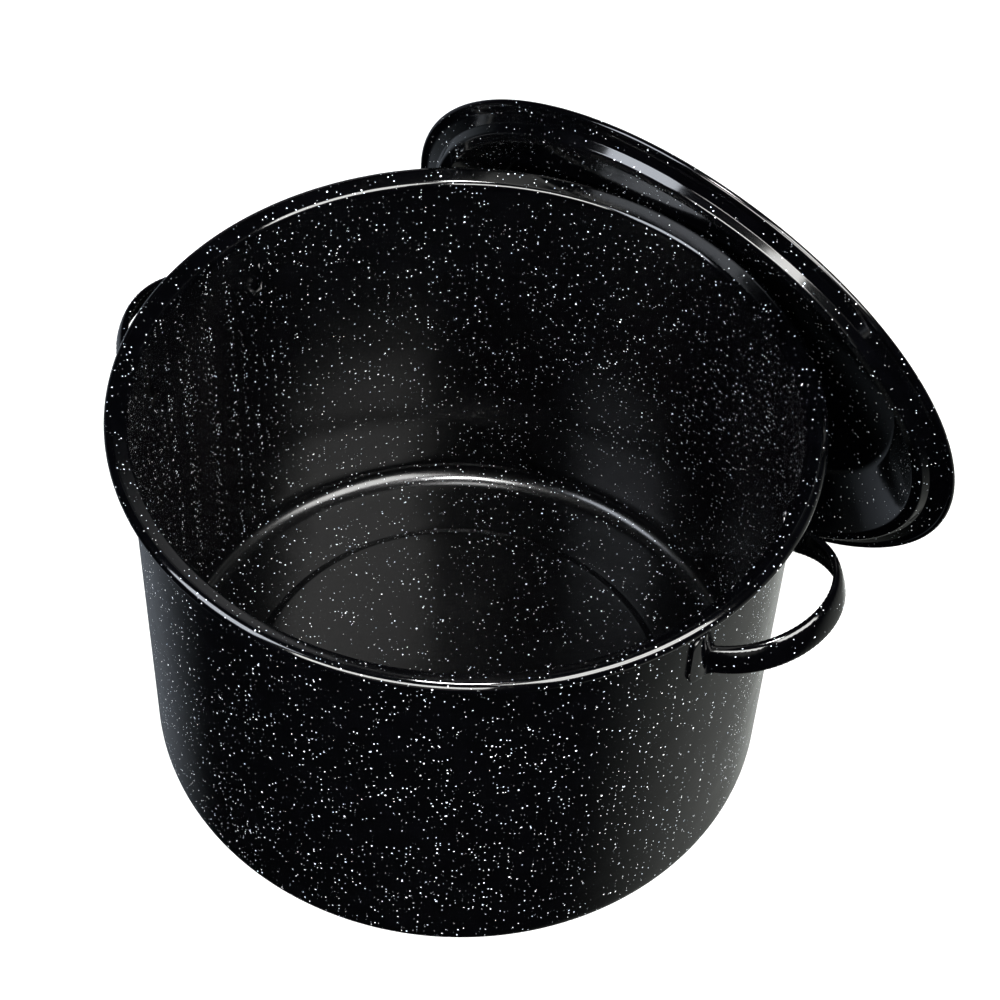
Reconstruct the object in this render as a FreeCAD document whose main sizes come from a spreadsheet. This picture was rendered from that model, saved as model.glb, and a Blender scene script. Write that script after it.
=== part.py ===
import FreeCAD, Part
import math
import os
import re
import Sketcher
from FreeCAD import Placement, Rotation, Vector

# Water bath canner: an enamelled steel stock pot with two loop handles, and its lid, which
# stands on the floor and leans against the pot's rim with its underside towards the pot.
# The origin is the centre of the pot's base, on the surface it stands on; +Z is up and +X
# points along the right-hand handle. All lengths are in millimetres, all angles in degrees.

DIMENSIONS = {
    "pot_height": 235,              # floor to the top of the rolled rim
    "wall_radius": 167,             # outside of the straight wall
    "rim_radius": 177.5,            # outside of the rolled rim
    "sheet": 1,                     # enamelled steel
    "bead_radius": 3.7,             # rolled edge of the pot
    "base_corner": 13,              # outside radius between base and wall
    "base_ring": 117,               # radius of the step that raises the middle of the base
    "base_raise": 3.2,
    "step_width": 5,
    "step_fillet": 3,
    "lip_drop": 4.6,                # the wall turns out into the lip this far below the top
    "lip_fillet": 2.5,
    "loop_radius": 47.3,            # outside of the half round handle loop
    "loop_reach": 213.2,            # pot axis to the outside of the loop, along the loop
    "loop_tilt": 19.8,              # the loop rises outwards
    "loop_height": 196,             # top edge of the strap where it meets the wall
    "strap_width": 17,              # height of the strap, which stands on edge
    "strap_depth": 3.6,             # over its turned-in edges
    "strap_sheet": 1.6,
    "strap_corner": 2.2,
    "foot_low": 176.5,              # the weld feet lie flat on the wall
    "foot_high": 212.5,
    "foot_start": 14.8,             # angles of each foot, from the middle of the handle
    "foot_end": 21,
    "foot_corner": 5,
    "lid_radius": 175,              # outside of the lid's hem
    "hem_radius": 1.6,
    "crease_radius": 162.7,         # the flange lies on the pot's rim out to here
    "crease_drop": 3.9,
    "crease_fillet": 1,
    "crest_outer": 159.9,           # the crest below the flange drops into the pot's mouth
    "crest_inner": 154.1,
    "crest_drop": 8.4,
    "crest_fillet": 2.4,
    "shoulder_radius": 129.3,       # where the steep wall turns into the dome
    "shoulder_rise": 17,
    "shoulder_fillet": 10,
    "dome_corner": 66,              # where the dome's two tangents cross
    "dome_rise": 36.7,
    "dome_radius": 380,
    "grip_sheet": 3,
    "grip_width": 18,
    "grip_rise": 30,                # top of the lid's handle above the middle of the dome
    "grip_top": 26,                 # the corners of the arch, from its middle
    "grip_foot": 29,
    "grip_end": 46,
    "grip_top_fillet": 10,
    "grip_foot_fillet": 5,
    "foot_inner_drop": 1.1,         # the feet follow the fall of the dome
    "foot_outer_drop": 2.7,
    "lean_tilt": 73,                # between the lid's plane and the floor
    "lean_azimuth": 82.5,           # the way the lid's top side faces
    "lean_distance": 163.5,         # pot axis to the lid's middle, along that way
    "lean_offset": 19.6,            # and across it
}

SAME_LENGTH = 0.01                  # two lengths closer than this are the same

doc = FreeCAD.newDocument("water_bath_canner")
sizes = doc.addObject("Spreadsheet::Sheet", "Sizes")
for row, (name, value) in enumerate(DIMENSIONS.items(), start=1):
    sizes.set(f"A{row}", name)
    sizes.set(f"B{row}", str(value))
    sizes.setAlias(f"B{row}", name)
doc.recompute()


def bound(formula):
    """The formula with each dimension's name written as a cell of the sheet."""
    return re.sub(r"[a-z_]+", lambda word: "Sizes." + word[0] if word[0] in DIMENSIONS else word[0], formula)


def amount(formula):
    """The formula's value in millimetres or degrees."""
    result = sizes.evalExpression(bound(formula))
    return float(getattr(result, "Value", result))


def new_body(label):
    body = doc.addObject("PartDesign::Body", label)
    body.Label = label
    return body


def new_sketch(body, label, plane="XZ_Plane"):
    """A sketch on one of the body's own origin planes."""
    sketch = body.newObject("Sketcher::SketchObject", label)
    sketch.AttachmentSupport = [(item, "") for item in body.Origin.OriginFeatures if item.Role == plane]
    sketch.MapMode = "FlatFace"
    return sketch


def constrain(sketch, kind, *terms, formula=None):
    """Adds one constraint, bound to the sheet where it has a formula."""
    if formula is None:
        return sketch.addConstraint(Sketcher.Constraint(kind, *terms))
    index = sketch.addConstraint(Sketcher.Constraint(kind, *terms, amount(formula)))
    sketch.setExpression(f"Constraints[{index}]", bound(formula))
    return index


def fix_point(sketch, geometry, point, across, along):
    constrain(sketch, "DistanceX", -1, 1, geometry, point, formula=across)
    constrain(sketch, "DistanceY", -1, 1, geometry, point, formula=along)


def rounded_path(corners):
    """Lines and arcs of a path with rounded corners, as ("line", start, end) and
    ("arc", start, end, centre, radius, turn), from points with a radius at each corner."""
    pieces = []
    start = corners[0][0]
    for (before, _), (here, radius), (after, _) in zip(corners, corners[1:], corners[2:]):
        arriving = (here - before).normalize()
        leaving = (after - here).normalize()
        turn = math.copysign(1, arriving.cross(leaving).z)
        reach = radius * math.tan(arriving.getAngle(leaving) / 2)
        first, last = here - arriving * reach, here + leaving * reach
        centre = first + Vector(-arriving.y, arriving.x) * turn * radius
        pieces.append(("line", start, first))
        pieces.append(("arc", first, last, centre, radius, turn))
        start = last
    pieces.append(("line", start, corners[-1][0]))
    return pieces


def add_path(sketch, pieces):
    """Draws the pieces, joined end to end and tangent. Returns each piece's geometry
    number and its first and last point."""
    drawn = []
    for piece in pieces:
        if piece[0] == "line":
            number = sketch.addGeometry(Part.LineSegment(piece[1], piece[2]))
            drawn.append((number, 1, 2))
            continue
        _, first, last, centre, radius, turn = piece
        low, high = (first, last) if turn > 0 else (last, first)
        angles = [math.atan2(point.y - centre.y, point.x - centre.x) for point in (low, high)]
        circle = Part.Circle(centre, Vector(0, 0, 1), radius)
        number = sketch.addGeometry(Part.ArcOfCircle(circle, angles[0], angles[1]))
        drawn.append((number, 1, 2) if turn > 0 else (number, 2, 1))
    for (number, _, end), (following, begin, _) in zip(drawn, drawn[1:]):
        constrain(sketch, "Tangent", number, end, following, begin)
    return drawn


def add_sheet(sketch, corners, thickness):
    """Closed outline of bent sheet. The corners give one face as formulas
    (across, along, radius); the other face lies the thickness to its left."""
    points = [(Vector(amount(across), amount(along)), amount(radius)) for across, along, radius in corners]
    face = rounded_path(points)
    gap = amount(thickness)
    back = []
    for piece in face:
        if piece[0] == "arc":
            _, first, last, centre, radius, turn = piece
            scale = (radius - turn * gap) / radius
            back.append(("arc", centre + (first - centre) * scale, centre + (last - centre) * scale,
                         centre, radius - turn * gap, turn))
    joints = [face[0][1] + left_of(face[0]) * gap]
    for piece in back:
        joints += [piece[1], piece[2]]
    joints.append(face[-1][2] + left_of(face[-1]) * gap)
    other = []
    for index, piece in enumerate(back):
        other += [("line", joints[2 * index], joints[2 * index + 1]), piece]
    other.append(("line", joints[-2], joints[-1]))

    near = add_path(sketch, face)
    far = add_path(sketch, other)
    for index, (across, along, radius) in enumerate(corners):
        if index in (0, len(corners) - 1):
            number, point = (near[0][0], 1) if index == 0 else (near[-1][0], 2)
            fix_point(sketch, number, point, across, along)
            continue
        arc, turn = near[2 * index - 1][0], face[2 * index - 1][5]
        corner = sketch.addGeometry(Part.Point(points[index][0]), True)
        fix_point(sketch, corner, 1, across, along)
        for line in (near[2 * index - 2][0], near[2 * index][0]):
            constrain(sketch, "PointOnObject", corner, 1, line)
        constrain(sketch, "Radius", arc, formula=radius)
        constrain(sketch, "Coincident", arc, 3, far[2 * index - 1][0], 3)
        sign = "-" if turn > 0 else "+"
        constrain(sketch, "Radius", far[2 * index - 1][0], formula=f"{radius} {sign} {thickness}")
    for first, second, point in ((near[0][0], far[0][0], 1), (near[-1][0], far[-1][0], 2)):
        ends = [sketch.getPoint(number, point) for number in (first, second)]
        cap = sketch.addGeometry(Part.LineSegment(*ends))
        constrain(sketch, "Coincident", cap, 1, first, point)
        constrain(sketch, "Coincident", cap, 2, second, point)
        constrain(sketch, "Perpendicular", cap, first)
        constrain(sketch, "Parallel", first, second)


def left_of(piece):
    """The direction to the left of a straight piece."""
    along = (piece[2] - piece[1]).normalize()
    return Vector(-along.y, along.x)


def add_polygon(sketch, corners):
    """Closed outline of straight lines through the corners, given as formulas."""
    points = [Vector(amount(across), amount(along)) for across, along in corners]
    lines = [sketch.addGeometry(Part.LineSegment(first, second))
             for first, second in zip(points, points[1:] + points[:1])]
    for number, following in zip(lines, lines[1:] + lines[:1]):
        constrain(sketch, "Coincident", number, 2, following, 1)
    for number, (across, along) in zip(lines, corners):
        fix_point(sketch, number, 1, across, along)


def revolve(body, label, sketch, kind="PartDesign::Revolution", axis="V_Axis", angle=None):
    feature = body.newObject(kind, label)
    feature.Profile = sketch
    feature.ReferenceAxis = (sketch, [axis])
    if angle:
        feature.Midplane = True
        feature.setExpression("Angle", bound(angle))
    else:
        feature.Angle = 360
    doc.recompute()
    return feature


def add_ring(body, label, major, minor, height):
    """A rolled edge: a torus about the body's Z axis."""
    ring = body.newObject("PartDesign::AdditiveTorus", label)
    ring.setExpression("Radius1", bound(major))
    ring.setExpression("Radius2", bound(minor))
    ring.setExpression("AttachmentOffset.Base.z", bound(height))
    ring.AttachmentSupport = [(item, "") for item in body.Origin.OriginFeatures if item.Role == "XY_Plane"]
    ring.MapMode = "FlatFace"
    doc.recompute()
    return ring


def build_pot():
    """One drawn shell: a base with a raised middle, a straight wall and a flared, rolled rim."""
    body = new_body("pot_body")
    profile = new_sketch(body, "pot_profile")
    add_sheet(profile, [
        ("0", "base_raise", "0"),
        ("base_ring - step_width / 2", "base_raise", "step_fillet"),
        ("base_ring + step_width / 2", "0", "step_fillet"),
        ("wall_radius", "0", "base_corner"),
        ("wall_radius", "pot_height - lip_drop", "lip_fillet"),
        ("rim_radius - bead_radius", "pot_height - bead_radius / 2", "0"),
    ], "sheet")
    revolve(body, "pot_shell", profile)
    add_ring(body, "pot_rim", "rim_radius - bead_radius", "bead_radius", "pot_height - bead_radius")
    return body


def build_side_handle(label, heading):
    """A strap on edge, bent to a half round loop that rises outwards, with two feet that lie
    flat on the wall. In the body's own frame X runs out along the loop, the loop's top edge
    is in XY and the pot's axis passes through the origin, tilted in XZ."""
    body = new_body(label)
    centre = "(loop_reach - loop_radius)"
    outside = f"{centre} + loop_radius"
    inside = f"{outside} - strap_depth"

    channel = new_sketch(body, label + "_channel")
    add_sheet(channel, [
        (inside, "0 - strap_width", "0"),
        (outside, "0 - strap_width", "strap_corner"),
        (outside, "0", "strap_corner"),
        (inside, "0", "0"),
    ], "strap_sheet")
    axis_ends = Vector(amount(centre), 0), Vector(amount(centre), amount("strap_width"))
    middle = channel.addGeometry(Part.LineSegment(*axis_ends), True)
    fix_point(channel, middle, 1, centre, "0")
    constrain(channel, "Vertical", middle)
    constrain(channel, "DistanceY", middle, 1, middle, 2, formula="strap_width")
    revolve(body, label + "_loop", channel, axis="Axis0")

    # the origin's height on the pot's axis
    level = "(loop_height - wall_radius * tan(loop_tilt * 1deg))"
    pot_side = add_upright_box(body, label + "_pot_side", "0", "wall_radius", "0 - pot_height", "pot_height")
    revolve(body, label + "_trim", pot_side, kind="PartDesign::Groove")
    feet = add_upright_box(body, label + "_feet_band", "wall_radius", "wall_radius + strap_sheet",
                           f"foot_low - {level}", f"foot_high - {level}")
    revolve(body, label + "_feet", feet, angle="2 * foot_end")
    between = add_upright_box(body, label + "_between_feet", "wall_radius - sheet",
                              "wall_radius + strap_sheet", "0 - pot_height", "pot_height")
    notch = revolve(body, label + "_between", between, kind="PartDesign::Groove", angle="2 * foot_start")

    rounding = body.newObject("PartDesign::Fillet", label + "_foot_corners")
    rounding.Base = (notch, foot_corner_edges(notch.Shape))
    rounding.setExpression("Radius", bound("foot_corner"))
    doc.recompute()

    body.Placement = Placement(Vector(0, 0, amount(level)), Rotation(heading, -amount("loop_tilt"), 0))
    return body


def add_upright_box(body, label, near, far, low, high):
    """A rectangle beside the pot's axis, in a sketch whose V axis is that axis."""
    sketch = new_sketch(body, label)
    sketch.AttachmentOffset = Placement(Vector(), Rotation(Vector(0, 0, 1), -amount("loop_tilt")))
    sketch.setExpression("AttachmentOffset.Rotation.Angle", bound("0deg - loop_tilt * 1deg"))
    add_polygon(sketch, [(near, low), (far, low), (far, high), (near, high)])
    return sketch


def foot_corner_edges(shape):
    """The short edges through the sheet at the outer ends of both feet."""
    beyond = amount("wall_radius * sin((foot_start + foot_end) * 0.5deg)")
    return [f"Edge{number}" for number, edge in enumerate(shape.Edges, start=1)
            if abs(edge.Length - amount("strap_sheet")) < SAME_LENGTH
            and all(abs(vertex.Y) > beyond for vertex in edge.Vertexes)]


def lean():
    """Where the lid stands: on its hem, its top side facing away from the pot."""
    away = Rotation(Vector(0, 0, 1), amount("lean_azimuth"))
    height = amount("(lid_radius - hem_radius) * sin(lean_tilt * 1deg) + hem_radius")
    middle = away.multVec(Vector(amount("lean_distance"), -amount("lean_offset"), height))
    return Placement(middle, Rotation(amount("lean_azimuth"), amount("lean_tilt"), 0))


def build_lid():
    """A drawn lid: a flange that slopes in to a crest, a steep wall and a shallow dome. Its own
    origin is the middle of the hem's plane and its own Z is up when it is on the pot."""
    body = new_body("lid_shell")
    profile = new_sketch(body, "lid_profile")
    add_sheet(profile, [
        ("0", "dome_rise", "0"),
        ("dome_corner", "dome_rise", "dome_radius"),
        ("shoulder_radius", "shoulder_rise", "shoulder_fillet"),
        ("crest_inner", "0 - crest_drop", "crest_fillet"),
        ("crest_outer", "0 - crest_drop", "crest_fillet"),
        ("crease_radius", "0 - crease_drop", "crease_fillet"),
        ("lid_radius - hem_radius", "0 - sheet / 2", "0"),
    ], "sheet")
    revolve(body, "lid_sheet", profile)
    add_ring(body, "lid_hem", "lid_radius - hem_radius", "hem_radius", "0")
    body.Placement = lean()
    return body


def build_lid_handle(lid):
    """An arch of thick strap over the middle of the dome, its feet cut to lie on the dome."""
    body = new_body("lid_handle_strap")
    arch = new_sketch(body, "lid_handle_arch", "YZ_Plane")
    crown = "dome_rise + sheet"
    top = f"{crown} + grip_rise - grip_sheet"
    add_sheet(arch, [
        ("0 - grip_end", f"{crown} - foot_outer_drop", "0"),
        ("0 - grip_foot", f"{crown} - foot_inner_drop", "grip_foot_fillet"),
        ("0 - grip_top", top, "grip_top_fillet"),
        ("grip_top", top, "grip_top_fillet"),
        ("grip_foot", f"{crown} - foot_inner_drop", "grip_foot_fillet"),
        ("grip_end", f"{crown} - foot_outer_drop", "0"),
    ], "grip_sheet")
    strap = body.newObject("PartDesign::Pad", "lid_handle_pad")
    strap.Profile = arch
    strap.Midplane = True
    strap.setExpression("Length", bound("grip_width"))
    doc.recompute()
    body.Placement = lean()

    handle = doc.addObject("Part::Cut", "lid_handle")
    handle.Label = "lid_handle"
    handle.Base = body
    handle.Tool = lid
    doc.recompute()
    return handle


pot = build_pot()
lid = build_lid()
parts = [
    pot,
    build_side_handle("right_side_handle", 0),
    build_side_handle("left_side_handle", 180),
    lid,
    build_lid_handle(lid),
]
doc.recompute()

for item in doc.Objects:
    if "Invalid" in item.State or "Error" in item.State:
        raise RuntimeError(f"{item.Label} did not build: {item.State}")
for part in parts:
    if part.Shape.isNull() or not part.Shape.isValid() or len(part.Shape.Solids) != 1:
        raise RuntimeError(f"{part.Label} is not one valid solid")

os.makedirs("parts", exist_ok=True)
for part in parts:
    part.Shape.exportStep(f"parts/{part.Label}.step")
    box = part.Shape.optimalBoundingBox()
    print(f"{part.Label}: {part.Shape.Volume:.0f} mm3, x {box.XMin:.1f} to {box.XMax:.1f}, "
          f"y {box.YMin:.1f} to {box.YMax:.1f}, z {box.ZMin:.1f} to {box.ZMax:.1f}")
print(f"gap between the lid and the pot: {lid.Shape.distToShape(pot.Shape)[0]:.2f} mm")
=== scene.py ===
import math

import bpy
from mathutils import Matrix, Vector


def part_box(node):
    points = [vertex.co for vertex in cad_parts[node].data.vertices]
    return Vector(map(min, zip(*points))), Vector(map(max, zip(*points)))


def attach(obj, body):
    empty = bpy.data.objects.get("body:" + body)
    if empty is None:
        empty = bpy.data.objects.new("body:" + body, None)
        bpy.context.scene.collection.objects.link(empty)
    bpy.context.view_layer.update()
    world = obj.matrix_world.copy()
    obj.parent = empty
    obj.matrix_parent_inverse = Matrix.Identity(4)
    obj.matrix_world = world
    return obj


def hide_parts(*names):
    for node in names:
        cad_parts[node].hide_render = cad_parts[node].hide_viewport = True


# A water bath canner in speckled black enamel. Its open lid stands behind it, leaning on the
# rim with its underside towards the pot. Shapes are worked out in millimetres in each part's
# own frame, and turned into metres when their meshes are made.

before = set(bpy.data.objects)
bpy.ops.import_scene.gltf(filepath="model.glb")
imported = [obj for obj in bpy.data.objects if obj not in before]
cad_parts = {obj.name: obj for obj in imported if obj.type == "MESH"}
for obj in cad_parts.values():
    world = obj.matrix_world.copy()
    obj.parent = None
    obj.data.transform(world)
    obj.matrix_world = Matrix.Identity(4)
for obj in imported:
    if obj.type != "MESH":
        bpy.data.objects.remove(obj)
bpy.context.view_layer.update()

MM = 0.001
TINY = 1e-6

# how finely outlines are drawn
CORNER_TURN = 7                     # degrees, at most, between the points of a rounded corner
OUTLINE_STRETCH = 6                 # longest stretch of the pot's and the lid's outlines
POT_TURNS = 480                     # segments round the pot and the lid

# pot: the outside of the sheet
POT_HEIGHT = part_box("pot_body")[1][2] / MM
RIM_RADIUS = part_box("pot_body")[1][0] / MM
WALL_RADIUS = 167
SHEET = 1
BEAD_RADIUS = 3.7
BASE_CORNER = 13
BASE_RING = 117
BASE_RAISE = 3.2
STEP_WIDTH = 5
STEP_FILLET = 3
LIP_DROP = 4.6
LIP_FILLET = 2.5
LIP_TOP_FILLET = 2
LIP_OVERRUN = 0.5                   # to a last corner that only gives this fillet its direction
CURL_END = -200                     # degrees, where the bead's curled edge stops
CURL_STEPS = 40
HOLLOW_END = 84                     # degrees, where the hollow in the bead meets the lip
HOLLOW_STEPS = 30

# side handles
LOOP_RADIUS = 47.3                  # outside of the half round loop
LOOP_REACH = 213.2                  # pot axis to the outside of the loop, along the loop
LOOP_TILT = math.radians(19.8)
LOOP_HEIGHT = 196                   # top edge of the strap where it meets the wall
LOOP_STEPS = 44
STRAP_WIDTH = 17
STRAP_DEPTH = 3.6                   # over its turned-in edges
STRAP_SHEET = 1.6
STRAP_CORNER = 2.2
STRAP_CROWN = 0.7                   # the outer face swells by this much in its middle
STRAP_INNER_CORNER = 0.3            # smallest radius inside a turned-in edge
FACE_STEPS = 6
EDGE_STEPS = 5
BACK_STEPS = 4
FOOT_LOW = 176.5
FOOT_HIGH = 212.5
FOOT_END = math.radians(21)         # from the middle of the handle, round the pot
FOOT_TRIM = 0.002                   # radians by which the last section stops short of that
FOOT_CORNER = 9
FOOT_CLEARANCE = 0.15               # between a foot and the wall
FOOT_LIP = 0.3                      # the foot's edges stand this far past its sheet
FOOT_EDGE = 1.0                     # radius along the foot's edges
FOOT_STEPS = 14
FOOT_CROWDING = 1.5                 # power that crowds sections towards the foot's rounded end
FOOT_BEND = 9                       # radius of the bend from the loop to the foot
BEND_SHARE = 0.7                    # share of that radius taken off each end of the loop
BEND_PULL = 0.62                    # how far the bend's curve follows each of its two ends
BEND_STEPS = 12

# lid: the underside of the sheet, the right way up
LID_RADIUS = 175
HEM_RADIUS = 1.6
HEM_TUCK = 0.4                      # the flange ends this far inside the hem's middle
HEM_START = 110                     # degrees, round the hem
HEM_END = -140
HEM_STEPS = 24
CREASE_RADIUS = 162.7
CREASE_DROP = 3.9
CREASE_FILLET = 1
CREST_OUTER = 159.9
CREST_INNER = 154.1
CREST_DROP = 8.4
CREST_FILLET = 2.4
SHOULDER_RADIUS = 129.3
SHOULDER_RISE = 17
SHOULDER_FILLET = 10
DOME_CORNER = 66
DOME_RISE = 36.7
DOME_RADIUS = 380
LEAN_TILT = math.radians(73)
LEAN_AZIMUTH = math.radians(82.5)
LEAN_DISTANCE = 163.5
LEAN_OFFSET = 19.6

# lid handle
GRIP_SHEET = 3
GRIP_WIDTH = 18
GRIP_RISE = 30
GRIP_TOP = 26
GRIP_FOOT = 29                      # the foot's heights are the dome's here and at its end
GRIP_FOOT_CORNER = 30
GRIP_END = 46
GRIP_OVERRUN = 0.1                  # from there to the tip of the foot's rounded end
GRIP_SINK = 0.2                     # how far the feet sink into the dome, past their crown
GRIP_TOP_FILLET = 10
GRIP_FOOT_FILLET = 5
GRIP_CROWN = 0.5
GRIP_STRETCH = 1.5                  # longest stretch along the strap
GRIP_BULGE = 0.1                    # the rounded edges stand this far past the width
GRIP_EDGE_SHARE = 0.8               # of the half width, the most that a rounded edge takes
GRIP_EDGE_ARC = 80                  # degrees to each side of the edge's middle
GRIP_EDGE_STEPS = 6
GRIP_FACE_STEPS = 8

# specks in the enamel: spacing, largest radius, share of the cells that hold one
COARSE_SPECKS = (3.4, 0.5, 0.45)
MIDDLE_SPECKS = (1.9, 0.35, 0.72)
DUST_SPECKS = (1.2, 0.2, 0.2)
DUST_STRENGTH = 0.4
SPECK_EDGE = (-0.02, 0.1)           # depths inside a speck where its white starts and is full
SPECK_WHITE = (0.86, 0.88, 0.88, 1)
SPECK_BLUISH = (0.40, 0.47, 0.56, 1)
SPECK_ROUGHNESS = 0.12              # on top of the enamel's
SPECK_HEIGHT = 0.004
TINT_SIZE = 2.5
WOBBLE = 0.5                        # how strongly specks are pulled out of round
CLOUD_DENSITY = (0.7, 1.15)         # in the thin and in the thick clouds of specks

# noises in the enamel: size and detail, then the range of the noise that is used
WOBBLE_NOISE = (1.1, 1.0)
CLOUD_NOISE = (38, 3.0)
CLOUD_RANGE = (0.36, 0.66)
HAZE_NOISE = (16, 4.0)
HAZE_RANGE = (0.35, 0.75)
SCUFF_NOISE = (7, 6.0)
SCUFF_RANGE = (0.55, 0.8)
PEEL_NOISE = (6, 1.0)
WAVE_NOISE = (26, 1.0)

# the enamel itself
GROUND = (0.0002, 0.0002, 0.0003)
HAZE_GAIN = 1.8
GLOSS_LEVEL = 0.32
ENAMEL_ROUGHNESS = 0.1
SCUFF_ROUGHNESS = 0.05
PEEL_HEIGHT = 0.02                  # millimetres, from hollow to crest
SHALLOW_WAVES = 0.12
RIM_BELOW = 7                       # the rim's smoother enamel reaches this far below the top
RIM_ROUGHNESS = 0.09
RIM_BLEND = 2                       # height of the passage under it

# the photograph's view, about the middle of the pot's base
VIEW_TURN = math.radians(27.6)
CAMERA_PLACE = Vector((18.24, -796.92, 1049.41)) * MM
CAMERA_DIP = math.radians(48.07)
CAMERA_ROLL = math.radians(3.11)
CAMERA_LENS = 83.52
CAMERA_SENSOR = 36
CAMERA_SIGHT = 50                   # metres

# studio, in metres
AIM = (0, 0, 0.2)                   # what the lights point at
FLOOR_REACH = 6
FLOOR_GLOW = 0.9                    # keeps the paper white in the shade
PAPER_ROUGHNESS = 0.9
PAPER_GLOSS = 0.1
PAPER_NOISE = (60, 4.0)             # size in millimetres, and detail
PAPER_DARK = (0.20, 0.20, 0.20, 1)
PAPER_PALE = (0.22, 0.22, 0.22, 1)
WARM = (1.0, 1.0, 0.98)
NEUTRAL = (1.0, 1.0, 1.0)
COOL = (0.86, 0.91, 1.0)

# patches of the room: direction with Y along the view, half width in degrees, colour
ROOM = [
    ((0, 0, 1), 179, (0.006, 0.006, 0.007)),
    ((0.67, 0.47, -0.57), 55, (0.36, 0.375, 0.355)),
    ((0.22, 0.81, -0.54), 32, (0.55, 0.57, 0.55)),
    ((-0.50, 0.71, -0.50), 38, (0.25, 0.28, 0.32)),
    ((-0.17, -0.98, 0.03), 26, (0.8, 0.8, 0.78)),
    ((0.05, 0.98, 0.12), 32, (0.45, 0.45, 0.47)),
]


# ---- outlines ----

def rotated(vector, angle):
    """A 2-D vector turned anticlockwise."""
    sine, cosine = math.sin(angle), math.cos(angle)
    return Vector((vector.x * cosine - vector.y * sine, vector.x * sine + vector.y * cosine))


def bend(before, corner, after, radius):
    """Points of the arc that rounds a corner, from its first tangent point to its last."""
    into, out = (corner - before).normalized(), (after - corner).normalized()
    turn = into.angle_signed(out)
    if radius == 0 or abs(turn) < TINY:
        return [corner]
    reach = radius * math.tan(abs(turn) / 2)
    start = corner - into * reach
    side = -1 if turn > 0 else 1
    middle = start + Vector((-into.y, into.x)) * radius * side
    by_turn = math.ceil(math.degrees(abs(turn)) / CORNER_TURN)
    by_length = math.ceil(abs(turn) * radius / OUTLINE_STRETCH)
    steps = max(2, by_turn, by_length)
    arm = start - middle
    return [middle + rotated(arm, -turn * step / steps) for step in range(steps + 1)]


def rounded(corners):
    """A line through corners (x, y, radius), each rounded with its radius."""
    places = [Vector((x, y)) for x, y, _ in corners]
    line = [places[0]]
    for index in range(1, len(corners) - 1):
        line += bend(places[index - 1], places[index], places[index + 1], corners[index][2])
    return line + [places[-1]]


def arc(centre, radius, start, end, steps):
    """Points along an arc, in degrees, anticlockwise where the end is larger."""
    angles = [math.radians(start + (end - start) * step / steps) for step in range(steps + 1)]
    return [Vector((centre[0] + radius * math.cos(a), centre[1] + radius * math.sin(a))) for a in angles]


def subdivided(line, longest):
    """The same line with no stretch longer than that."""
    fine = [line[0]]
    for start, end in zip(line, line[1:]):
        parts = max(1, math.ceil((end - start).length / longest))
        fine += [start.lerp(end, part / parts) for part in range(1, parts + 1)]
    return fine


def beside(line, distance):
    """The line moved to its left."""
    moved = []
    for index, point in enumerate(line):
        before = line[max(index - 1, 0)]
        after = line[min(index + 1, len(line) - 1)]
        along = (after - before).normalized()
        moved.append(point + Vector((-along.y, along.x)) * distance)
    return moved


def curve(first, second, third, last, share):
    """A point on a cubic Bezier curve."""
    rest = 1 - share
    return (first * rest ** 3 + second * 3 * rest ** 2 * share
            + third * 3 * rest * share ** 2 + last * share ** 3)


def eased(share):
    """A share from 0 to 1 that starts and stops gently."""
    return share * share * (3 - 2 * share)


def corner_trim(radius, left):
    """What a rounded end of that radius takes off the half width, that far from its tip."""
    return radius - math.sqrt(radius ** 2 - max(radius - left, 0) ** 2)


# ---- meshes ----

def piece(name, points, faces, material, body, nodes, place=Matrix()):
    """A smooth mesh object that stands for CAD nodes and rides on a body."""
    mesh = bpy.data.meshes.new(name)
    mesh.from_pydata([place @ (point * MM) for point in points], [], faces)
    mesh.validate()
    mesh.shade_smooth()
    mesh.materials.append(material)
    made = bpy.data.objects.new(name, mesh)
    bpy.context.scene.collection.objects.link(made)
    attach(made, body)
    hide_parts(*nodes)
    return made


def turned(outline, segments):
    """Vertices and faces of a closed outline (radius, height) turned about Z. Points on the
    axis are one vertex each."""
    points, rows, faces = [], [], []
    for point in outline:
        if point.x < TINY:
            rows.append([len(points)] * segments)
            points.append(Vector((0, 0, point.y)))
            continue
        rows.append(list(range(len(points), len(points) + segments)))
        for segment in range(segments):
            angle = math.tau * segment / segments
            points.append(Vector((point.x * math.cos(angle), point.x * math.sin(angle), point.y)))
    for row, following in zip(rows, rows[1:] + rows[:1]):
        if row[0] == row[1] and following[0] == following[1]:
            continue
        for segment in range(segments):
            after = (segment + 1) % segments
            loop = [row[segment], row[after], following[after], following[segment]]
            faces.append(list(dict.fromkeys(loop)))
    return points, faces


def swept(sections):
    """Vertices and faces of a solid through closed sections. Faces join matching points only
    as long as every section has as many points as the first."""
    count = len(sections[0])
    points = [point for section in sections for point in section]
    faces = [list(range(count))[::-1], list(range(len(points) - count, len(points)))]
    for ring in range(len(sections) - 1):
        base = ring * count
        for index in range(count):
            after = (index + 1) % count
            faces.append([base + index, base + after, base + count + after, base + count + index])
    return points, faces


# ---- materials ----

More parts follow.
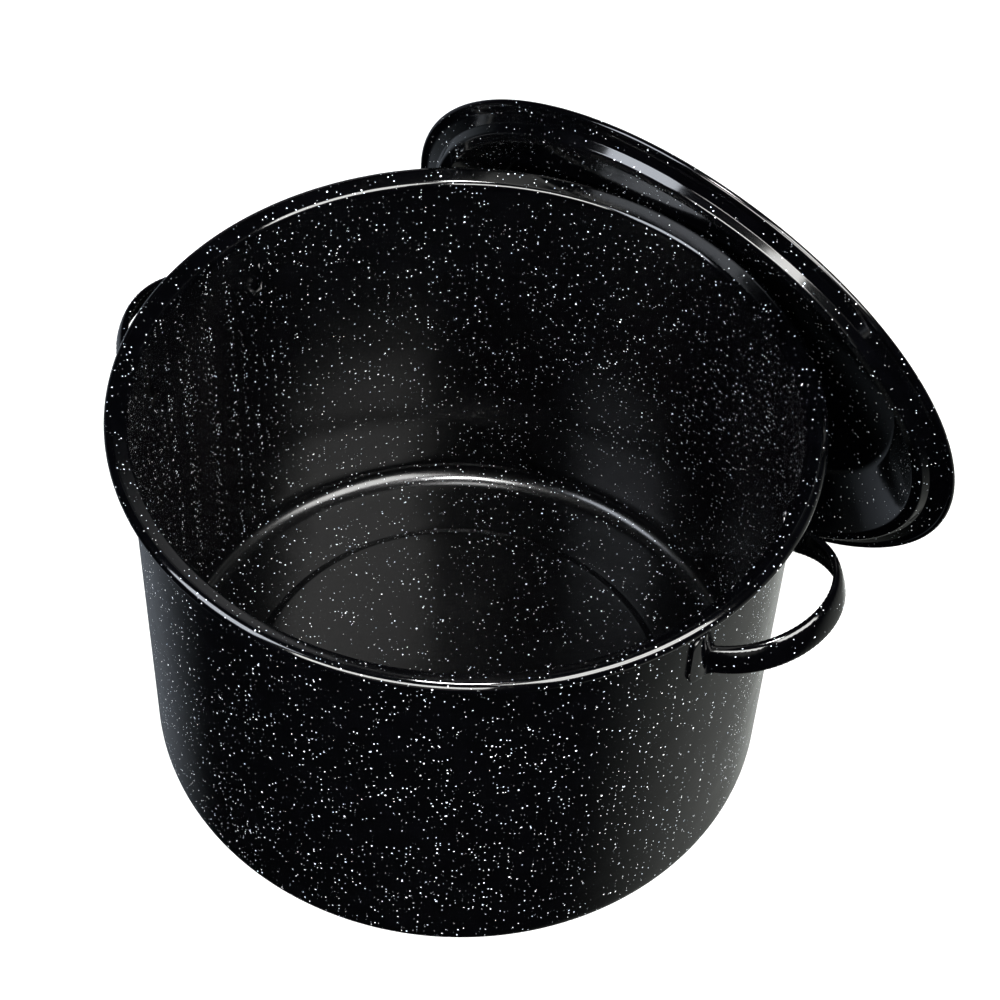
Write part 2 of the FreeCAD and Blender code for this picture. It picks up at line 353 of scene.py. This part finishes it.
class Nodes:
    """Short names for building a material's nodes."""

    def __init__(self, name):
        self.material = bpy.data.materials.new(name)
        self.material.use_nodes = True
        self.tree = self.material.node_tree
        self.shader = self.tree.nodes["Principled BSDF"]
        coordinates = self.tree.nodes.new("ShaderNodeTexCoord")
        self.place = coordinates.outputs["Object"]

    def add(self, kind, inputs, output=0, **settings):
        node = self.tree.nodes.new("ShaderNode" + kind)
        for key, value in settings.items():
            setattr(node, key, value)
        for key, value in inputs.items():
            self.connect(value, node.inputs[key])
        return node.outputs[output]

    def connect(self, value, socket):
        if isinstance(value, bpy.types.NodeSocket):
            self.tree.links.new(value, socket)
        else:
            socket.default_value = value

    def math(self, operation, first, second=0.0, third=0.0):
        return self.add("Math", {0: first, 1: second, 2: third}, operation=operation)

    def noise(self, size, detail):
        """Noise whose features are about that many millimetres across."""
        return self.add("TexNoise", {"Vector": self.place, "Scale": 1 / (size * MM), "Detail": detail})

    def ramp(self, value, low, high, start=0.0, end=1.0):
        return self.add("MapRange", {"Value": value, "From Min": low, "From Max": high,
                                     "To Min": start, "To Max": end}, interpolation_type="SMOOTHSTEP")

    def mix(self, share, first, second):
        node = self.tree.nodes.new("ShaderNodeMix")
        node.data_type = "RGBA"
        self.connect(share, node.inputs[0])
        self.connect(first, node.inputs[6])
        self.connect(second, node.inputs[7])
        return node.outputs[2]


def specks(nodes, place, clouds, spacing, largest, share):
    """A mask of round specks: one in each cell of that spacing, for that share of the cells
    times the clouds, up to the largest radius. Lengths are in millimetres."""
    cells = {"Vector": place, "Scale": 1 / (spacing * MM)}
    distance = nodes.add("TexVoronoi", cells, "Distance")
    chance = nodes.add("SeparateColor", {"Color": nodes.add("TexVoronoi", cells, "Color")}, "Red")
    empty = nodes.math("SUBTRACT", 1.0, nodes.math("MULTIPLY", clouds, share))
    size = nodes.ramp(chance, empty, 1.0, 0.0, largest / spacing)
    edge = nodes.math("SUBTRACT", size, distance)
    starts, full = SPECK_EDGE
    return nodes.ramp(edge, starts / spacing, full / spacing)


def enamel(name, density, roughness=ENAMEL_ROUGHNESS, wave_height=SHALLOW_WAVES, rim=None):
    """Glassy enamel with white specks frozen into it. Density scales the share of cells that
    hold a speck. Above the rim's height, in millimetres, the enamel is smoother."""
    nodes = Nodes(name)
    wobble = nodes.add("VectorMath", {0: nodes.noise(*WOBBLE_NOISE), 1: (0.5, 0.5, 0.5)},
                       operation="SUBTRACT")
    shift = nodes.add("VectorMath", {0: wobble, "Scale": WOBBLE * MM}, operation="SCALE")
    place = nodes.add("VectorMath", {0: nodes.place, 1: shift}, operation="ADD")

    thin, thick = CLOUD_DENSITY
    clouds = nodes.ramp(nodes.noise(*CLOUD_NOISE), *CLOUD_RANGE, thin * density, thick * density)
    coarse = specks(nodes, place, clouds, *COARSE_SPECKS)
    middle = specks(nodes, place, clouds, *MIDDLE_SPECKS)
    dust = nodes.math("MULTIPLY", specks(nodes, place, clouds, *DUST_SPECKS), DUST_STRENGTH)
    mask = nodes.math("MAXIMUM", nodes.math("MAXIMUM", coarse, middle), dust)

    tint = nodes.add("TexVoronoi", {"Vector": place, "Scale": 1 / (TINT_SIZE * MM)}, "Color")
    tone = nodes.add("SeparateColor", {"Color": tint}, "Green")
    white = nodes.mix(tone, SPECK_BLUISH, SPECK_WHITE)
    haze = nodes.ramp(nodes.noise(*HAZE_NOISE), *HAZE_RANGE)
    ground = nodes.mix(haze, (*GROUND, 1), (*[share * HAZE_GAIN for share in GROUND], 1))
    nodes.connect(nodes.mix(mask, ground, white), nodes.shader.inputs["Base Color"])

    scuffs = nodes.ramp(nodes.noise(*SCUFF_NOISE), *SCUFF_RANGE, 0.0, SCUFF_ROUGHNESS)
    if rim is not None:
        level = nodes.add("SeparateXYZ", {"Vector": nodes.place}, "Z")
        roughness = nodes.ramp(level, (rim - RIM_BLEND) * MM, rim * MM, roughness, RIM_ROUGHNESS)
    gloss = nodes.math("ADD", nodes.math("MULTIPLY_ADD", mask, SPECK_ROUGHNESS, roughness), scuffs)
    nodes.connect(gloss, nodes.shader.inputs["Roughness"])
    nodes.shader.inputs["Specular IOR Level"].default_value = GLOSS_LEVEL

    peel = nodes.math("MULTIPLY", nodes.noise(*PEEL_NOISE), PEEL_HEIGHT)
    wave = nodes.math("MULTIPLY_ADD", nodes.noise(*WAVE_NOISE), wave_height, peel)
    height = nodes.math("MULTIPLY_ADD", mask, SPECK_HEIGHT, wave)
    bump = nodes.add("Bump", {"Height": height, "Strength": 1.0, "Distance": MM})
    nodes.connect(bump, nodes.shader.inputs["Normal"])
    return nodes.material


# ---- pot ----

def build_pot(material):
    """The drawn wall with its rolled rim, from a closed outline round both sides of the sheet."""
    bead = (RIM_RADIUS - BEAD_RADIUS, POT_HEIGHT - BEAD_RADIUS)
    outside = rounded([
        (0, BASE_RAISE, 0),
        (BASE_RING - STEP_WIDTH / 2, BASE_RAISE, STEP_FILLET),
        (BASE_RING + STEP_WIDTH / 2, 0, STEP_FILLET),
        (WALL_RADIUS, 0, BASE_CORNER),
        (WALL_RADIUS, POT_HEIGHT - LIP_DROP, LIP_FILLET),
        (RIM_RADIUS - BEAD_RADIUS, POT_HEIGHT - SHEET, LIP_TOP_FILLET),
        (RIM_RADIUS - BEAD_RADIUS + LIP_OVERRUN, POT_HEIGHT - SHEET, 0),
    ])
    inside = subdivided(beside(outside, SHEET)[:-1], OUTLINE_STRETCH)
    curl = arc(bead, BEAD_RADIUS, 90, CURL_END, CURL_STEPS)
    hollow = arc(bead, BEAD_RADIUS - SHEET, CURL_END, HOLLOW_END, HOLLOW_STEPS)
    outline = inside + curl + hollow + subdivided(outside[:-1], OUTLINE_STRETCH)[::-1]
    points, faces = turned(outline, POT_TURNS)
    return piece("pot_shell", points, faces, material, "pot", ["pot_body"])


# ---- side handles ----

def strap_section(width, depth, corner, crown):
    """Half outline of a channel: (across from its middle, out from its outer face), from the
    middle of the outer face round one turned-in edge to the middle of the inner face. Along the
    loop, where the strap is narrow, the outer face has one point less than at the feet."""
    half, sheet = width / 2, STRAP_SHEET
    shares = [step / FACE_STEPS for step in range(FACE_STEPS)]
    face = [Vector((half * share, -crown * share ** 2)) for share in shares]
    face = [point for point in face if point.x < half - corner]
    rim = arc((half - corner, -corner - crown), corner, 90, 0, EDGE_STEPS)
    lip = arc((half - sheet / 2, -depth - crown + sheet / 2), sheet / 2, 0, -180, EDGE_STEPS)
    inner = max(corner - sheet, STRAP_INNER_CORNER)
    back = arc((half - sheet - inner, -sheet - inner - crown), inner, 0, 90, BACK_STEPS)
    return face + rim + lip + back + [Vector((0, -sheet))]


def loop_station(angle):
    """(top edge, bottom edge, outward) of the strap where the loop has turned by that angle."""
    up = Vector((-math.sin(LOOP_TILT), 0, math.cos(LOOP_TILT)))
    out = Vector((math.cos(LOOP_TILT), 0, math.sin(LOOP_TILT)))
    base = Vector((0, 0, LOOP_HEIGHT - WALL_RADIUS * math.tan(LOOP_TILT)))
    outward = out * math.cos(angle) + Vector((0, math.sin(angle), 0))
    top = base + out * (LOOP_REACH - LOOP_RADIUS) + outward * LOOP_RADIUS
    return top, top - up * STRAP_WIDTH, outward


def foot_station(angle, wall):
    """The same for a foot on a wall of that radius, at that angle round the pot."""
    outward = Vector((math.cos(angle), math.sin(angle), 0))
    edge = outward * wall
    trim = corner_trim(FOOT_CORNER, (FOOT_END - angle) * wall)
    return edge + Vector((0, 0, FOOT_HIGH - trim)), edge + Vector((0, 0, FOOT_LOW + trim)), outward


def handle_stations():
    """Stations (top edge, bottom edge, outward, share of the channel's depth) along a handle,
    from one foot through the loop to the other."""
    wall = WALL_RADIUS + STRAP_SHEET + FOOT_CLEARANCE
    foot_from = math.asin(LOOP_RADIUS / wall) + FOOT_BEND / wall
    foot_to = FOOT_END - FOOT_TRIM
    foot = []
    for step in range(FOOT_STEPS + 1):
        share = (step / FOOT_STEPS) ** FOOT_CROWDING
        foot.append((*foot_station(foot_to - (foot_to - foot_from) * share, wall), 0.0))

    loop_angle = math.pi / 2 - FOOT_BEND / LOOP_RADIUS * BEND_SHARE
    end, start = foot[-1], loop_station(loop_angle)
    foot_along = Vector((math.sin(foot_from), -math.cos(foot_from), 0))
    out = Vector((math.cos(LOOP_TILT), 0, math.sin(LOOP_TILT)))
    loop_along = out * math.sin(loop_angle) - Vector((0, math.cos(loop_angle), 0))
    for step in range(1, BEND_STEPS):
        share = step / BEND_STEPS
        edges = []
        for first, last in ((end[0], start[0]), (end[1], start[1])):
            pull = (last - first).length * BEND_PULL
            edges.append(curve(first, first + foot_along * pull, last - loop_along * pull, last, share))
        blend = eased(share)
        foot.append((*edges, end[2].lerp(start[2], blend).normalized(), blend))

    loop = []
    for step in range(LOOP_STEPS + 1):
        loop.append((*loop_station(loop_angle - 2 * loop_angle * step / LOOP_STEPS), 1.0))
    other_foot = [(*[Vector((v.x, -v.y, v.z)) for v in vectors], channel)
                  for *vectors, channel in foot[::-1]]
    return foot + loop + other_foot


def build_side_handle(name, heading, material, node):
    """A crowned strap on edge: its two ends spread into feet that are welded to the wall."""
    stations = handle_stations()
    foot_depth = STRAP_SHEET + FOOT_LIP
    sections = []
    for index, (top, bottom, outward, channel) in enumerate(stations):
        across = top - bottom
        width = across.length
        across.normalize()
        before, after = stations[max(index - 1, 0)], stations[min(index + 1, len(stations) - 1)]
        along = ((after[0] + after[1]) - (before[0] + before[1])).normalized()
        normal = along.cross(across).normalized()
        if normal.dot(outward) < 0:
            normal.negate()
        depth = foot_depth + (STRAP_DEPTH - foot_depth) * channel
        corner = FOOT_EDGE + (STRAP_CORNER - FOOT_EDGE) * channel
        half = strap_section(width, depth, corner, STRAP_CROWN * channel)
        outline = half[::-1] + [Vector((-point.x, point.y)) for point in half[1:-1]]
        middle = (top + bottom) / 2
        sections.append([middle + across * point.x + normal * point.y for point in outline])
    points, faces = swept(sections)
    place = Matrix.Rotation(heading, 4, "Z")
    return piece(name, points, faces, material, "pot", [node], place)


# ---- lid ----

def lid_place():
    """Where the lid stands: on its hem, its top side facing away from the pot."""
    height = (LID_RADIUS - HEM_RADIUS) * math.sin(LEAN_TILT) + HEM_RADIUS
    turn = Matrix.Rotation(LEAN_AZIMUTH, 4, "Z")
    middle = turn @ Vector((LEAN_DISTANCE, -LEAN_OFFSET, 0)) + Vector((0, 0, height))
    return Matrix.Translation(middle * MM) @ turn @ Matrix.Rotation(LEAN_TILT, 4, "Y")


def build_lid(material):
    """A drawn lid: a flange that slopes in to a crest, a steep wall and a shallow dome."""
    underside = rounded([
        (0, DOME_RISE, 0),
        (DOME_CORNER, DOME_RISE, DOME_RADIUS),
        (SHOULDER_RADIUS, SHOULDER_RISE, SHOULDER_FILLET),
        (CREST_INNER, -CREST_DROP, CREST_FILLET),
        (CREST_OUTER, -CREST_DROP, CREST_FILLET),
        (CREASE_RADIUS, -CREASE_DROP, CREASE_FILLET),
        (LID_RADIUS - HEM_RADIUS - HEM_TUCK, -SHEET, 0),
    ])
    above = subdivided(beside(underside, SHEET), OUTLINE_STRETCH)[:-1]
    hem = (LID_RADIUS - HEM_RADIUS, 0)
    roll = arc(hem, HEM_RADIUS, HEM_START, HEM_END, HEM_STEPS)
    outline = above + roll + subdivided(underside, OUTLINE_STRETCH)[::-1][1:]
    points, faces = turned(outline, POT_TURNS)
    return piece("lid_dish", points, faces, material, "lid", ["lid_shell"], lid_place())


def dome_height(radius):
    """The top side of the dome at that distance from its middle."""
    slope = math.atan2(DOME_RISE - SHOULDER_RISE, SHOULDER_RADIUS - DOME_CORNER)
    flat = DOME_CORNER - DOME_RADIUS * math.tan(slope / 2)
    beyond = max(radius - flat, 0)
    outer = DOME_RADIUS + SHEET
    return DOME_RISE + SHEET - (outer - math.sqrt(outer ** 2 - beyond ** 2))


def grip_section(half):
    """Outline of the lid handle's strap with that half width: (across, out from its outer face)."""
    flat = half - min(GRIP_SHEET / 2 - GRIP_BULGE, half * GRIP_EDGE_SHARE)
    shares = [2 * step / GRIP_FACE_STEPS - 1 for step in range(GRIP_FACE_STEPS + 1)]
    face = [Vector((flat * share, GRIP_CROWN * (1 - share ** 2))) for share in shares]
    middle = (flat, -GRIP_SHEET / 2)
    rim = arc(middle, GRIP_SHEET / 2, GRIP_EDGE_ARC, -GRIP_EDGE_ARC, GRIP_EDGE_STEPS)
    back = [Vector((flat, -GRIP_SHEET)), Vector((-flat, -GRIP_SHEET))]
    other = [Vector((-point.x, point.y)) for point in rim[::-1]]
    return face + rim + back + other


def build_lid_handle(material):
    """An arch of thick strap whose rounded feet lie on the dome."""
    top = DOME_RISE + SHEET + GRIP_RISE
    foot = dome_height(GRIP_END) + GRIP_SHEET - GRIP_SINK
    inner_foot = dome_height(GRIP_FOOT) + GRIP_SHEET - GRIP_SINK
    line = rounded([
        (-GRIP_END, foot, 0),
        (-GRIP_FOOT_CORNER, inner_foot, GRIP_FOOT_FILLET),
        (-GRIP_TOP, top, GRIP_TOP_FILLET + GRIP_SHEET),
        (GRIP_TOP, top, GRIP_TOP_FILLET + GRIP_SHEET),
        (GRIP_FOOT_CORNER, inner_foot, GRIP_FOOT_FILLET),
        (GRIP_END, foot, 0),
    ])
    line = subdivided(line, GRIP_STRETCH)
    nose = GRIP_WIDTH / 2
    sections = []
    for index, point in enumerate(line):
        along = (line[min(index + 1, len(line) - 1)] - line[max(index - 1, 0)]).normalized()
        normal = Vector((-along.y, along.x))
        half = nose - corner_trim(nose, GRIP_END - abs(point.x) + GRIP_OVERRUN)
        section = []
        for across, out in grip_section(half):
            place = point + normal * (out - GRIP_CROWN)
            section.append(Vector((across, place.x, place.y)))
        sections.append(section)
    points, faces = swept(sections)
    return piece("lid_grip", points, faces, material, "lid", ["lid_handle"], lid_place())


# ---- studio ----

def in_studio(x, y, z):
    """A place in metres, with Y along the photograph's view."""
    return Matrix.Rotation(VIEW_TURN, 4, "Z") @ Vector((x, y, z))


def build_floor():
    """White paper, which the enamel doesn't mirror."""
    nodes = Nodes("floor_paper")
    tone = nodes.mix(nodes.noise(*PAPER_NOISE), PAPER_DARK, PAPER_PALE)
    nodes.connect(tone, nodes.shader.inputs["Base Color"])
    nodes.shader.inputs["Roughness"].default_value = PAPER_ROUGHNESS
    nodes.shader.inputs["Specular IOR Level"].default_value = PAPER_GLOSS
    nodes.shader.inputs["Emission Color"].default_value = (1, 1, 1, 1)
    nodes.shader.inputs["Emission Strength"].default_value = FLOOR_GLOW
    reach = FLOOR_REACH
    corners = [(-reach, -reach, 0), (reach, -reach, 0), (reach, reach, 0), (-reach, reach, 0)]
    mesh = bpy.data.meshes.new("floor")
    mesh.from_pydata(corners, [], [(0, 1, 2, 3)])
    mesh.materials.append(nodes.material)
    floor = bpy.data.objects.new("floor", mesh)
    bpy.context.scene.collection.objects.link(floor)
    floor.visible_glossy = False


def softbox(name, azimuth, elevation, distance, size, power, color):
    """A soft light, that way from the pot in degrees and metres. Azimuth 90 is along the view."""
    data = bpy.data.lights.new(name, "AREA")
    data.shape = "RECTANGLE"
    data.size, data.size_y = size
    data.energy = power
    data.color = color
    lamp = bpy.data.objects.new(name, data)
    bpy.context.scene.collection.objects.link(lamp)
    turn, rise = math.radians(azimuth), math.radians(elevation)
    across = distance * math.cos(rise)
    lamp.location = in_studio(across * math.cos(turn), across * math.sin(turn), distance * math.sin(rise))
    aim = in_studio(*AIM) - lamp.location
    lamp.rotation_euler = aim.to_track_quat("-Z", "Y").to_euler()


def build_world():
    """A dark room with pale patches, as it shows in the enamel."""
    world = bpy.data.worlds.new("room")
    bpy.context.scene.world = world
    world.use_nodes = True
    tree = world.node_tree
    direction = tree.nodes.new("ShaderNodeTexCoord").outputs["Generated"]
    total = None
    for towards, width, color in ROOM:
        dot = tree.nodes.new("ShaderNodeVectorMath")
        dot.operation = "DOT_PRODUCT"
        dot.inputs[1].default_value = in_studio(*towards).normalized()
        tree.links.new(direction, dot.inputs[0])
        spread = tree.nodes.new("ShaderNodeMapRange")
        spread.interpolation_type = "SMOOTHSTEP"
        spread.inputs["From Min"].default_value = math.cos(math.radians(width))
        spread.inputs["From Max"].default_value = 1
        tree.links.new(dot.outputs["Value"], spread.inputs["Value"])
        glow = tree.nodes.new("ShaderNodeVectorMath")
        glow.operation = "SCALE"
        glow.inputs[0].default_value = color
        tree.links.new(spread.outputs[0], glow.inputs["Scale"])
        if total is None:
            total = glow.outputs[0]
            continue
        join = tree.nodes.new("ShaderNodeVectorMath")
        tree.links.new(total, join.inputs[0])
        tree.links.new(glow.outputs[0], join.inputs[1])
        total = join.outputs[0]
    tree.links.new(total, tree.nodes["Background"].inputs["Color"])


def build_camera():
    data = bpy.data.cameras.new("camera")
    data.lens = CAMERA_LENS
    data.sensor_width = CAMERA_SENSOR
    data.clip_end = CAMERA_SIGHT
    camera = bpy.data.objects.new("camera", data)
    bpy.context.scene.collection.objects.link(camera)
    camera.matrix_world = (Matrix.Rotation(VIEW_TURN, 4, "Z") @ Matrix.Translation(CAMERA_PLACE)
                           @ Matrix.Rotation(math.pi / 2 - CAMERA_DIP, 4, "X")
                           @ Matrix.Rotation(CAMERA_ROLL, 4, "Z"))
    bpy.context.scene.camera = camera


pot_enamel = enamel("pot_enamel", density=1.0, roughness=0.2, wave_height=0.3, rim=POT_HEIGHT - RIM_BELOW)
lid_enamel = enamel("lid_enamel", density=0.55)
handle_enamel = enamel("handle_enamel", density=0.5)

build_pot(pot_enamel)
build_side_handle("right_handle_strap", 0, handle_enamel, "right_side_handle")
build_side_handle("left_handle_strap", math.pi, handle_enamel, "left_side_handle")
build_lid(lid_enamel)
build_lid_handle(handle_enamel)

build_floor()
build_world()
softbox("right_front", azimuth=-40, elevation=50, distance=1.5, size=(1.05, 0.9), power=78, color=WARM)
softbox("front", azimuth=-106, elevation=28, distance=1.5, size=(1.24, 0.52), power=56, color=WARM)
softbox("top", azimuth=-90, elevation=78, distance=1.6, size=(0.25, 0.25), power=34, color=NEUTRAL)
softbox("left_front", azimuth=-155, elevation=38, distance=1.5, size=(0.7, 0.9), power=38, color=COOL)
build_camera()
bpy.context.scene.view_settings.view_transform = "Standard"
